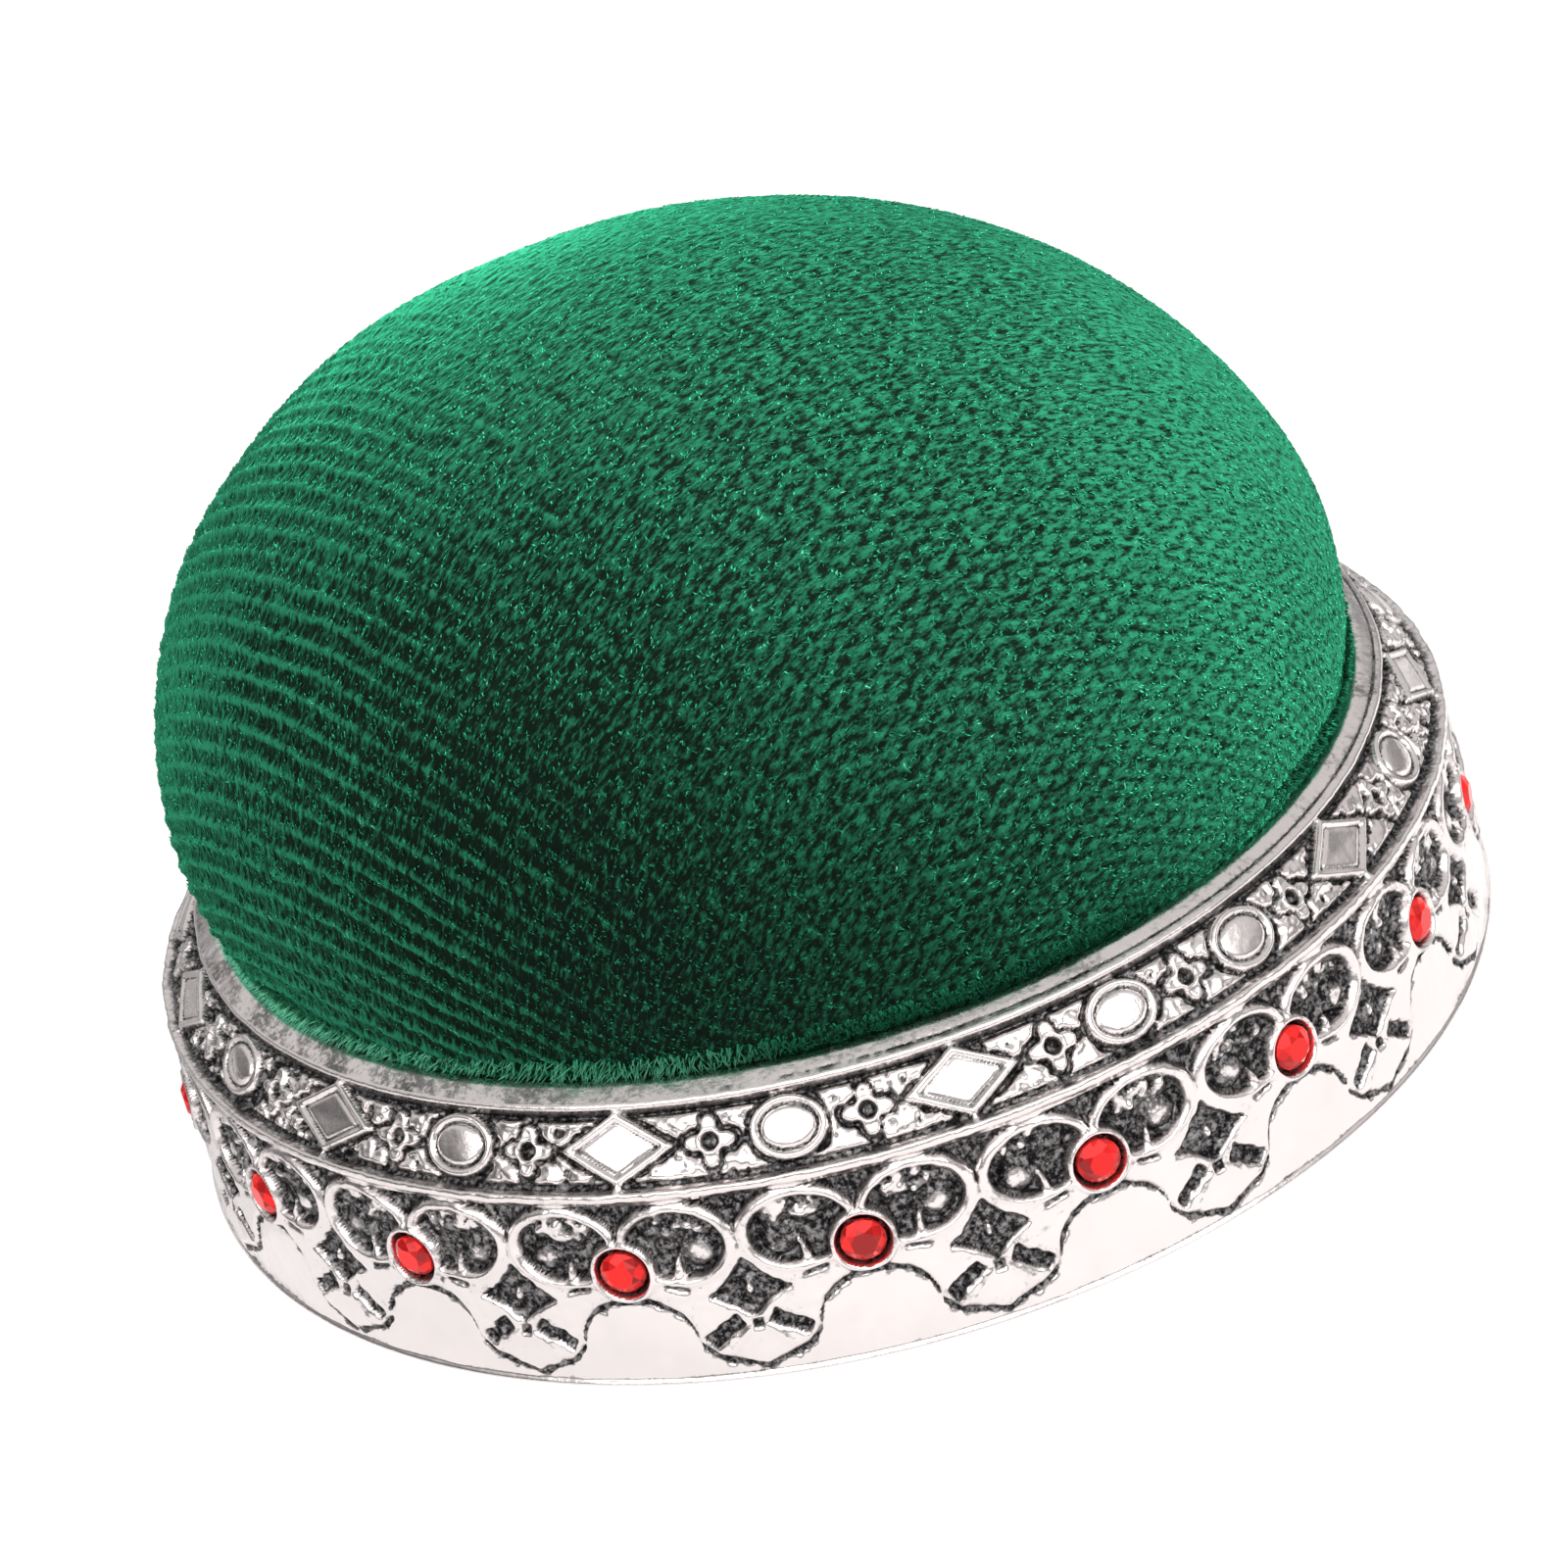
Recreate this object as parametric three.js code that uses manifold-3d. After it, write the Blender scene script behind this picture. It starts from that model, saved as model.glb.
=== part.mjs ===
// Round pin cushion: a velvet dome held in a crown-like cast tray set with small round stones.
// Millimetres, +Z up. The origin is the centre of the base's underside.

import * as THREE from 'three';
import { mergeVertices } from 'three/addons/utils/BufferGeometryUtils.js';
import Module from 'manifold-3d';

const wasm = await Module();
wasm.setup();

// ---- driving dimensions ----

const BASE_RADIUS = 30;
const RIM_RADIUS = 27.25;          // outer edge of the lip's wire
const RIM_HEIGHT = 12.28;
const LIP_RADIUS = 25.9;           // inner edge of the lip, where the velvet starts
const LIP_HEIGHT = 12.72;
const RIDGE_RADIUS = 29.57;        // wire between the upper and the lower band
const RIDGE_HEIGHT = 9.25;
const WIRE = 0.3;                  // half width of the ridge wire
const TRAY_RADIUS = 27.3;          // inside of the tray's wall
const FLOOR_TOP = 2.0;
const RECESS_RADIUS = 26.8;        // shallow recess under the tray, for the felt
const RECESS_HEIGHT = 0.9;
const FOOT_EDGE = 0.3;             // bevel round the foot
const WALL_STEP = [29.7, 3.4];     // where the wall's slight taper changes
const FILLET = 0.6;                // between the tray's wall and its floor, and under the lip

const STONE_COUNT = 18;
const STONE_RADIUS = 0.975;
const STONE_HEIGHT = 5.6;          // height of the row of stones above the table
const FIRST_STONE = THREE.MathUtils.degToRad(-153.6);
const STONE_FACE = 30.0;           // radius that the stones' tables reach
const STONE_TABLE = 0.58;
const STONE_CROWN = 0.42;          // from the girdle's middle out to the table
const STONE_PAVILION = 0.7;        // and back to the point
const GIRDLE = [-0.1, 0.05];
const BEZEL_RADIUS = 1.42;
const BEZEL_BORE = 1.2;
const BEZEL_FACE = 29.95;
const BEZEL_FLOOR = 28.5;

const DOME_RADIUS = 26.55;         // widest part of the cushion
const DOME_WAIST = 16.4;           // height of the widest part
const DOME_HEIGHT = 36.2;
const DOME_NECK = 25.55;           // where the lip holds it
const DOME_FULLNESS = 0.93;        // 1 is an ellipse, less is fuller
const DOME_SWELL = [[26.05, 13.6], [26.45, 15]];  // between the neck and the waist
const NECK_HEIGHT = 12.5;
const DOME_BELLY = 26.6;           // inside the tray
const BELLY_HEIGHT = 8.6;
const BELLY_ROUND = 1.6;           // height of the belly's rounded lower edge
const DOME_LEAN = new THREE.Vector2(-1.8, 1.5);   // how far the top leans off the base's axis
const CLOTH = 0.8;
const GAP = 0.3;                   // between the cloth and what it holds

const GATHER_RADIUS = 7.3;         // opening left under the cushion by the gathered cloth
const GLUE_RADIUS = 22;
const GLUE_THICKNESS = 0.4;
const BOARD_THICKNESS = 1.5;
const BOARD_RADIUS = 23.4;
const THREAD_RADIUS = 0.25;
const THREAD_INSET = 0.7;          // the thread's ring lies this far inside the gathered edge
const FELT_RADIUS = 26.4;
const FELT_THICKNESS = 0.8;

const ROUND_SEGMENTS = 72;
const DOME_SEGMENTS = 36;
const DOME_ROWS = 10;
const SMALL_SEGMENTS = 12;

// ---- materials ----

const finish = (color, roughness, metalness) =>
  new THREE.MeshStandardMaterial({ color, roughness, metalness });

const antiqueSilver = finish(0xc9c4c2, 0.3, 1);
const greenVelvet = finish(0x136b4a, 0.95, 0);
const redCrystal = finish(0xd5201f, 0.08, 0);
const whiteFibre = finish(0xe9e6dd, 1, 0);
const greyBoard = finish(0x9a9386, 0.9, 0);
const greenThread = finish(0x1a5c43, 0.8, 0);
const clearGlue = finish(0xd9d2b8, 0.4, 0);
const blackFelt = finish(0x1c1c1d, 1, 0);

// ---- shapes ----

// A solid of revolution about +Z from [radius, height] pairs.
function turned(profile, segments) {
  const points = profile.map(([radius, height]) => new THREE.Vector2(radius, height));
  return new THREE.LatheGeometry(points, segments).rotateX(Math.PI / 2);
}

function disc(radius, bottom, top) {
  return turned([[0, bottom], [radius, bottom], [radius, top], [0, top]], DOME_SEGMENTS);
}

function toSolid(geometry) {
  const bare = geometry.clone();
  bare.deleteAttribute('normal');
  bare.deleteAttribute('uv');
  const merged = mergeVertices(bare, 1e-4);
  const vertProperties = new Float32Array(merged.attributes.position.array);
  const triVerts = new Uint32Array(merged.index.array);
  return new wasm.Manifold(new wasm.Mesh({ numProp: 3, vertProperties, triVerts }));
}

function toGeometry(solid) {
  const { vertProperties, triVerts } = solid.getMesh();
  const geometry = new THREE.BufferGeometry();
  geometry.setAttribute('position', new THREE.BufferAttribute(vertProperties, 3));
  geometry.setIndex(new THREE.BufferAttribute(triVerts, 1));
  return geometry;
}

// A cylinder whose axis points out of the wall at the given angle, between two radii.
function radialCylinder(radius, from, to, angle) {
  const cylinder = new THREE.CylinderGeometry(radius, radius, to - from, SMALL_SEGMENTS);
  cylinder.rotateZ(-Math.PI / 2);
  cylinder.translate((from + to) / 2, 0, STONE_HEIGHT);
  return cylinder.rotateZ(angle);
}

// The cushion's outline from its neck up, pulled in by a margin: a short swell to the waist,
// then a crowned top whose section is a little fuller than an ellipse.
function domeOutline(margin) {
  const swell = [[DOME_NECK, NECK_HEIGHT], ...DOME_SWELL]
    .map(([radius, height]) => [radius - margin, height]);
  const crown = [];
  for (let row = 0; row <= DOME_ROWS; row += 1) {
    const turn = (row / DOME_ROWS) * Math.PI / 2;
    const radius = (DOME_RADIUS - margin) * Math.cos(turn) ** DOME_FULLNESS;
    const height = DOME_WAIST + (DOME_HEIGHT - margin - DOME_WAIST) * Math.sin(turn);
    crown.push([row === DOME_ROWS ? 0 : radius, height]);
  }
  return [...swell, ...crown];
}

// Leans everything above the lip, more the higher it stands.
function lean(geometry) {
  const place = geometry.attributes.position;
  for (let index = 0; index < place.count; index += 1) {
    const rise = Math.max(0, (place.getZ(index) - LIP_HEIGHT) / (DOME_HEIGHT - LIP_HEIGHT));
    place.setX(index, place.getX(index) + DOME_LEAN.x * rise);
    place.setY(index, place.getY(index) + DOME_LEAN.y * rise);
  }
  return geometry;
}

const stoneAngles = Array.from(
  { length: STONE_COUNT },
  (_, index) => FIRST_STONE + (index * 2 * Math.PI) / STONE_COUNT,
);

// ---- the cast tray ----

const trayProfile = [
  [0, RECESS_HEIGHT],
  [RECESS_RADIUS, RECESS_HEIGHT],
  [RECESS_RADIUS, 0],
  [BASE_RADIUS - FOOT_EDGE, 0],
  [BASE_RADIUS, FOOT_EDGE],
  WALL_STEP,
  [29.45, RIDGE_HEIGHT - 2 * WIRE],
  [RIDGE_RADIUS, RIDGE_HEIGHT - WIRE],
  [RIDGE_RADIUS, RIDGE_HEIGHT + WIRE],
  [29.1, RIDGE_HEIGHT + 1.5 * WIRE],
  [27.4, RIM_HEIGHT - 0.35],
  [RIM_RADIUS, RIM_HEIGHT],
  [LIP_RADIUS, LIP_HEIGHT],
  [LIP_RADIUS, LIP_HEIGHT - FILLET],
  [TRAY_RADIUS, RIDGE_HEIGHT],
  [TRAY_RADIUS, FLOOR_TOP + FILLET],
  [TRAY_RADIUS - FILLET, FLOOR_TOP],
  [0, FLOOR_TOP],
];

let tray = toSolid(turned(trayProfile, ROUND_SEGMENTS));
for (const angle of stoneAngles) {
  const collar = toSolid(radialCylinder(BEZEL_RADIUS, BEZEL_FLOOR, BEZEL_FACE, angle));
  const bore = toSolid(radialCylinder(BEZEL_BORE, BEZEL_FLOOR, BASE_RADIUS + 1, angle));
  tray = tray.add(collar).subtract(bore);
}

// ---- the cushion ----

const clothBottom = FLOOR_TOP + GLUE_THICKNESS;
const boardBottom = clothBottom + CLOTH;
const fillBottom = boardBottom + BOARD_THICKNESS;

const belly = (margin, low) => [
  [DOME_NECK - 1 - margin, low],
  [DOME_BELLY - margin, low + BELLY_ROUND],
  [DOME_BELLY - margin, BELLY_HEIGHT],
];

const clothProfile = [
  [GATHER_RADIUS, boardBottom],
  [GATHER_RADIUS, clothBottom],
  ...belly(0, clothBottom),
  ...domeOutline(0),
  ...domeOutline(CLOTH).reverse(),
  ...belly(CLOTH, boardBottom).reverse(),
  [GATHER_RADIUS, boardBottom],
];

const fillingProfile = [
  [0, fillBottom],
  ...belly(CLOTH + GAP, fillBottom),
  ...domeOutline(CLOTH + GAP),
];

const stoneProfile = [
  [0, -STONE_PAVILION],
  ...GIRDLE.map((height) => [STONE_RADIUS, height]),
  [STONE_TABLE, STONE_CROWN],
  [0, STONE_CROWN],
];

// ---- assembly ----

const group = new THREE.Group();

function addPiece(name, geometry, material, parent = group) {
  const mesh = new THREE.Mesh(geometry, material);
  mesh.name = name;
  parent.add(mesh);
  return mesh;
}

addPiece('base_casting', toGeometry(tray), antiqueSilver);
addPiece('felt_pad', disc(FELT_RADIUS, RECESS_HEIGHT - FELT_THICKNESS, RECESS_HEIGHT), blackFelt);
addPiece('glue_bed', disc(GLUE_RADIUS, FLOOR_TOP, clothBottom), clearGlue);
addPiece('backing_board', disc(BOARD_RADIUS, boardBottom, fillBottom), greyBoard);
addPiece('fibre_filling', lean(turned(fillingProfile, DOME_SEGMENTS)), whiteFibre);
addPiece('velvet_cover', lean(turned(clothProfile, DOME_SEGMENTS)), greenVelvet);

const thread = addPiece(
  'gathering_thread',
  new THREE.TorusGeometry(GATHER_RADIUS - THREAD_INSET, THREAD_RADIUS, 8, 36),
  greenThread,
);
thread.position.z = clothBottom + CLOTH / 2;

stoneAngles.forEach((angle, index) => {
  const seat = new THREE.Group();
  seat.rotation.z = angle;
  group.add(seat);
  const name = `rhinestone_${String(index + 1).padStart(2, '0')}`;
  const stone = addPiece(name, turned(stoneProfile, SMALL_SEGMENTS), redCrystal, seat);
  stone.rotation.y = Math.PI / 2;
  stone.position.set(STONE_FACE - STONE_CROWN, 0, STONE_HEIGHT);
});

export default group;
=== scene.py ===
"""A round pin cushion: a green velvet dome held in a crown-like cast silver tray with red stones.

The pieces follow in the order in which the cushion is put together. Shapes are worked out in
millimetres and written to the meshes in metres.
"""

from math import cos, pi, radians, sin

import bpy
import numpy as np
from mathutils import Matrix, Vector


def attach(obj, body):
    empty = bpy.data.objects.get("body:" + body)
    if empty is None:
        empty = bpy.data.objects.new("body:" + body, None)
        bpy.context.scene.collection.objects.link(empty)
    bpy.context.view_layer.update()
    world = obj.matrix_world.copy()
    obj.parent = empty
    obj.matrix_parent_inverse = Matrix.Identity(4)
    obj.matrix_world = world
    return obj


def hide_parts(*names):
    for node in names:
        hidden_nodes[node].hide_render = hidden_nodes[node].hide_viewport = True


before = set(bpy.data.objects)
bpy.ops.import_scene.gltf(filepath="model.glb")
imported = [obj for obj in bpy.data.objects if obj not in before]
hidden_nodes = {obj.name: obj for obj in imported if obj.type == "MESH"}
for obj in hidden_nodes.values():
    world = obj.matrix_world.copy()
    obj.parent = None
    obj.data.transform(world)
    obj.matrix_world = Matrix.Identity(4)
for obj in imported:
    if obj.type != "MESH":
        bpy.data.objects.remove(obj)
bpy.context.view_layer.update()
scene = bpy.context.scene

# ---------------------------------------------------------------------------------------------
# The wall of the tray
# A zinc die casting plated with silver and darkened in its recesses. The wall is a ring with a
# plain foot, a lower band, a ridge wire, a leaning upper band and a lip, and it is modelled in
# six equal arcs so that the ornament can be as fine as the real one.

MM = 0.001
STONES = 18
FIRST_STONE = radians(-153.6)
UNIT = 2 * pi / STONES
BAND_RADIUS = 30.0
FRIEZE_RADIUS = 28.3
STONE_Z = 5.6
UNIT_HALF = BAND_RADIUS * UNIT / 2
WALL_ARCS = 6
COLUMN_PITCH = 0.085
BLUR_MARGIN = 14


def ramp(x, low, high):
    """0 up to low, 1 from high on, and the smooth S-curve 3t^2 - 2t^3 between."""
    t = np.clip((x - low) / (high - low), 0, 1)
    return t * t * (3 - 2 * t)


def crest(x, width):
    """A rounded ridge 1 high where x is 0: exp(-(x / width)^2)."""
    return np.exp(-((x / width) ** 2))


def ellipse_distance(x, y, a, b):
    """About how far a point is outside an ellipse: k(k - 1) / |gradient|, k the scaled radius."""
    k = np.sqrt((x / a) ** 2 + (y / b) ** 2) + 1e-9
    slope = np.sqrt((x / a**2) ** 2 + (y / b**2) ** 2) + 1e-9
    return k * (k - 1) / slope


def lumps(x, y, size, seed, around=None):
    """Smooth random lumps from -1 to 1 about size across: a lattice of random heights, joined by
    S-curves. Where around is given, x repeats after that length."""
    cells = 512 if around is None else max(4, round(around / size))
    lattice = np.random.default_rng(seed).uniform(-1, 1, (cells, 512))
    step = size if around is None else around / cells
    column = np.floor(x / step).astype(int)
    row = np.floor(y / size).astype(int)
    s = ramp(x / step - column, 0, 1)
    t = ramp(y / size - row, 0, 1)

    def at(i, j):
        return lattice[(column + i) % cells, (row + j) % 512]

    low = at(0, 0) * (1 - s) + at(1, 0) * s
    high = at(0, 1) * (1 - s) + at(1, 1) * s
    return low * (1 - t) + high * t


def arc_points(centre, radius, start, end, count):
    """Points (radius, height) on a circle's arc in the section, from one angle to another."""
    turn = np.radians(np.linspace(start, end, count))
    return np.stack([centre[0] + radius * np.cos(turn), centre[1] + radius * np.sin(turn)], 1)


def line_points(start, end, count):
    """Evenly spaced points (radius, height) on a straight line in the section."""
    return np.linspace(start, end, count)


# The section, from the felt's recess under the foot, up the outside, over the lip and back down.
LOWER_FOOT = (30.0, 0.2)
LOWER_TOP = (29.42, 8.8)
FRIEZE_FOOT = (29.16, 9.62)
FRIEZE_TOP = (27.42, 12.02)
section_parts = {
    "recess": np.array([[26.8, 1.98], [26.8, 0.9], [26.8, 0.12], [26.92, 0.0], [28.4, 0.0]]),
    "foot": arc_points((29.8, 0.2), 0.2, -90, 0, 5)[:-1],
    "lower": line_points(LOWER_FOOT, LOWER_TOP, 98),
    "ridge": arc_points((29.33, 9.2), 0.28, -68, 68, 9),
    "frieze": line_points(FRIEZE_FOOT, FRIEZE_TOP, 36),
    "rim": arc_points((27.1, 12.18), 0.2, -20, 61, 6),
    "lip": np.concatenate([line_points((27.14, 12.385), (26.42, 12.785), 9), [[26.2, 12.84], [26.0, 12.8]]]),
    "inside": np.array([[25.9, 12.62], [26.1, 12.0], [27.3, 9.3], [27.3, 2.3], [27.0, 2.0]]),
}
section = np.concatenate(list(section_parts.values()))
part_of_row = np.repeat(list(section_parts), [len(rows) for rows in section_parts.values()])
ahead = np.roll(section, -1, 0) - np.roll(section, 1, 0)
section_normal = np.stack([ahead[:, 1], -ahead[:, 0]], 1)
section_normal /= np.linalg.norm(section_normal, axis=1)[:, None]


# The lower band's ornament. Places are mm along from a stone's centre line and mm up, and for the
# star and the windows, mm from the line half-way between two stones.
ARCH_HALF = 2.6
ARCH_FOOT_Z = 2.0
ARCH_RISE = 2.25
LOOP_PLACE = (2.6, 6.75)
LOOP_HALF = (2.6, 1.92)
HOLE_PLACE = (2.52, 6.66)
HOLE_HALF = (2.2, 1.6)
HOLE_DEPTH = 0.5
LOOP_WIRE = 0.15
BOSS_PLACE = (3.42, 6.25)
BOSS_RADIUS = 0.82
BOSS_HEIGHT = 0.32
SKY_DEPTH = 0.48
STAR_Z = 4.15
STAR_HALF = 2.0
STAR_UP = 1.9
STAR_DOWN = 1.32
STAR_CURVE = 0.82
STAR_DEPTH = 0.42
WINDOW_PLACE = (1.48, 2.44)
WINDOW_HALF = (0.92, 0.35)
WINDOW_SLANT = (0.83, 0.56)
PANEL_DEPTH = 0.2
COLLAR_RADIUS = 1.3
COLLAR_HEIGHT = 0.22
BORE_DEPTH = 0.7


def scallop_edge(a):
    """Height of the lower edge of the ornament, a mm from a stone's centre line: an elliptic arch
    round the smooth scallop, then straight down and along the foot under the star."""
    arch = ARCH_FOOT_Z + ARCH_RISE * np.sqrt(np.clip(1 - (a / ARCH_HALF) ** 2, 0, 1))
    foot = np.interp(a, [ARCH_HALF, 3.3, UNIT_HALF], [ARCH_FOOT_Z, 1.3, 0.62])
    return np.where(a < ARCH_HALF, arch, foot)


def lower_relief(u, v, grain):
    """Height of the lower band's ornament over its plain surface, and where the clean panel and
    the loops' sunk insides are, u mm along from a stone and v mm up. The unit is the same both
    ways from the stone: a collar, an oval loop with a scroll in it, and half of the star, the
    slanting windows and the foot that it shares with the next unit."""
    a = np.abs(u)
    b = np.abs(UNIT_HALF - a)
    stone = np.hypot(u, v - STONE_Z)
    ragged = 0.05 * grain

    loop_outside = ellipse_distance(a - LOOP_PLACE[0], v - LOOP_PLACE[1], *LOOP_HALF)
    loop_inside = ellipse_distance(a - HOLE_PLACE[0], v - HOLE_PLACE[1], *HOLE_HALF)
    sky = ramp(loop_outside + ragged, 0.0, 0.13) * ramp(v, 6.6, 7.0) * (1 - ramp(v, 8.62, 8.76))
    sky_ribs = crest(np.minimum(a, b) - 0.3 * (v - 7.2), 0.07) * ramp(v, 7.6, 8.0)
    pocket = (1 - ramp(loop_inside, -0.15, 0.0)) * ramp(stone, 1.4, 1.55) * ramp(v, 5.12, 5.3)

    ball = np.hypot(a - BOSS_PLACE[0], (v - BOSS_PLACE[1]) * 1.08)
    boss = np.sqrt(np.clip(1 - (ball / BOSS_RADIUS) ** 2, 0, 1))
    boss_ring = crest(ball - 0.95, 0.12)
    thorn = 0.34 * (1 - (v - 5.0) / 1.6) - np.abs(a - 2.4 - 0.14 * (v - 5.0) ** 2)
    stem = ramp(thorn + ragged, -0.05, 0.12)
    cheek = ramp(v, 6.6, 7.3) * ramp(a, 0.9, 1.5) * (1 - ramp(a, 3.8, 4.4))
    scroll = np.maximum(np.maximum(BOSS_HEIGHT * boss, 0.48 * stem), (0.27 + 0.2 * grain) * cheek)
    pocket_floor = -HOLE_DEPTH + 0.08 * grain + scroll - 0.1 * boss_ring

    reach = np.where(v > STAR_Z, STAR_UP, STAR_DOWN)
    points = (b / STAR_HALF) ** STAR_CURVE + (np.abs(v - STAR_Z) / reach) ** STAR_CURVE
    star = 1 - ramp(points + ragged, 0.88, 1.0)
    drop = crest(b, 0.17) * crest(v - 4.35, 0.34)
    star_ribs = 0.09 * crest(b * 0.8 - np.abs(v - STAR_Z), 0.1)
    star_floor = -STAR_DEPTH + STAR_DEPTH * drop + star_ribs + 0.05 * grain

    aside = b - WINDOW_PLACE[0]
    above = v - WINDOW_PLACE[1]
    along = aside * WINDOW_SLANT[0] - above * WINDOW_SLANT[1]
    across = aside * WINDOW_SLANT[1] + above * WINDOW_SLANT[0]
    outside = np.maximum(np.abs(along) - WINDOW_HALF[0], np.abs(across) - WINDOW_HALF[1])
    window = 1 - ramp(outside + 1.5 * ragged, -0.1, 0.04)
    window_floor = -STAR_DEPTH + 0.16 * crest(along - 0.3, 0.3) + 0.1 * grain
    notch = 1 - ramp(np.maximum(b - 0.3, np.abs(v - 2.66) - 0.24), -0.08, 0.06)
    slot = crest(v - 4.75 + 0.25 * (a - 2.0), 0.1) * ramp(a, 1.5, 1.8) * (1 - ramp(a, 2.5, 2.9))

    below = v - scallop_edge(a) + 1.4 * ragged
    panel = 1 - ramp(below, -0.06, 0.04)
    clean = 1 - ramp(below, -0.45, -0.22)
    edge_groove = crest(below + 0.05, np.clip(0.2 + 0.12 * grain, 0.08, 0.36)) * (0.8 + 1.2 * grain)

    plate = 0.03 * grain * ramp(b, 0.2, 1.2)
    fold = crest(np.abs(b - 0.95 * (2.9 - v)), 0.14) * ramp(v, 1.3, 1.6) * (1 - ramp(v, 2.5, 2.9))
    height = (plate + 0.1 * fold) * (1 - panel) - PANEL_DEPTH * panel
    height = height - 0.17 * np.clip(edge_groove, 0, 1.3) * ramp(v, 0.3, 0.7) - 0.2 * slot
    wire = crest((loop_outside + loop_inside) / 2, LOOP_WIRE) * ramp(stone, COLLAR_RADIUS, 1.5)
    height = height + 0.14 * wire
    height = height * (1 - sky) + (-SKY_DEPTH + 0.05 * grain + 0.14 * sky_ribs) * sky
    height = height * (1 - pocket) + pocket_floor * pocket
    height = height * (1 - star) + star_floor * star
    height = height * (1 - window) + window_floor * window
    height = height - 0.22 * notch * (1 - star)

    collar = ramp(stone, 1.12, 1.22) * (1 - ramp(stone, 1.38, 1.52))
    bore = 1 - ramp(stone, 1.04, 1.2)
    collar_face = COLLAR_HEIGHT - 0.4 * (stone - COLLAR_RADIUS) ** 2
    height = height * (1 - collar) + collar_face * collar
    return height * (1 - bore) - BORE_DEPTH * bore, clean, pocket


# Round the frieze go twelve lozenges and twelve discs with a flower between each two, evenly but
# for one place where two discs are neighbours, and one where two lozenges are.
FRIEZE_ORDER = "DCDCDCDCCDCDCDCDCDCDCDCD"
HALF_PITCH = {"D": radians(8.23), "C": radians(6.77)}
FIRST_LOZENGE = radians(-172.35)
FRIEZE_HALF = 1.49
LOZENGE_HALF = (2.55, 1.56)
DISC_HALF = (1.66, 1.36)
PETAL_REACH = 0.86
PETAL_WAVE = 0.28
FRIEZE_DEPTH = 0.42
BRIGHT_SIDE = radians(-75)
RIM_LINE_SIDE = radians(-40)
RIM_LINE_RADIUS = 26.94
frieze_places = {"D": [], "C": [], "F": []}
place = FIRST_LOZENGE - HALF_PITCH["D"]
for ornament in FRIEZE_ORDER:
    place += HALF_PITCH[ornament]
    frieze_places[ornament].append(place)
    place += HALF_PITCH[ornament]
    frieze_places["F"].append(place)


def nearest_offset(turn, places):
    """Distance in mm along the frieze from the nearest of the places, signed."""
    gaps = (turn[:, None] - np.array(places)[None, :] + pi) % (2 * pi) - pi
    nearest = np.abs(gaps).argmin(1)
    return gaps[np.arange(len(turn)), nearest] * FRIEZE_RADIUS


def frieze_relief(turn, t, grain):
    """Height of the frieze's ornament, t mm up its slope from the middle: lozenges with a sunk
    face, discs with a swelling face and four-petalled flowers with a drilled eye. A dark groove
    runs round each, and what is left between them is flush plate, whole on the bright side and
    sunk away towards the other, which leaves that side darker."""
    w = nearest_offset(turn, frieze_places["D"])[None, :]
    lozenge = (np.abs(w) / LOZENGE_HALF[0] + np.abs(t) / LOZENGE_HALF[1] - 1) * 1.3
    w = nearest_offset(turn, frieze_places["C"])[None, :]
    disc = ellipse_distance(w, t - 0.04, *DISC_HALF)
    disc_radius = np.hypot(w / 1.12, (t - 0.04) / 0.92)
    w = nearest_offset(turn, frieze_places["F"])[None, :]
    radius = np.hypot(w, t)
    petals = PETAL_REACH + PETAL_WAVE * np.cos(4 * np.arctan2(t, w))
    flower = (radius - petals) * 0.85

    nearest = np.minimum(np.minimum(lozenge, disc), flower) + 0.12 * grain
    plate = ramp(nearest, 0.14, 0.26)
    plate *= 1 - ramp(t + 0.06 * grain, FRIEZE_HALF - 0.3, FRIEZE_HALF - 0.18)
    plate *= 1 - ramp(-t + 0.06 * grain, FRIEZE_HALF - 0.16, FRIEZE_HALF - 0.06)
    plate *= ramp(0.5 + 0.5 * np.cos(turn - BRIGHT_SIDE) + 0.4 * grain, 0.42, 0.7)
    height = -FRIEZE_DEPTH + 0.06 * grain + (0.36 + 0.05 * grain) * plate

    inside = 1 - ramp(lozenge, -0.03, 0.06)
    frame_groove = crest(lozenge + 0.36, 0.07)
    hollow = 0.05 * ramp(-lozenge, 0.4, 1.3)
    face = 0.07 - 0.08 * ramp(-lozenge, 0.3, 0.4) - 0.15 * frame_groove - hollow
    height = height * (1 - inside) + face * inside

    inside = 1 - ramp(disc, -0.05, 0.05)
    dome = np.sqrt(np.clip(1 - disc_radius**2, 0, 1))
    face = 0.08 - 0.18 * crest(disc + 0.42, 0.08) - 0.06 * ramp(-disc, 0.3, 0.4) + 0.1 * dome
    height = height * (1 - inside) + face * inside

    inside = 1 - ramp(flower, -0.06, 0.04)
    eye = 1 - ramp(radius, 0.28, 0.4)
    face = 0.06 - 0.08 * ramp(-flower, 0.0, 0.4) + 0.1 * crest(radius - 0.46, 0.09)
    face = face - FRIEZE_DEPTH * eye
    return height * (1 - inside) + face * inside


def blurred(height, reach):
    """The mean of each height and its neighbours up to reach away, along and across in turn."""
    for axis in (0, 1):
        shifted = [np.roll(height, step, axis) for step in range(-reach, reach + 1)]
        height = np.mean(shifted, axis=0)
    return height


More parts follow.
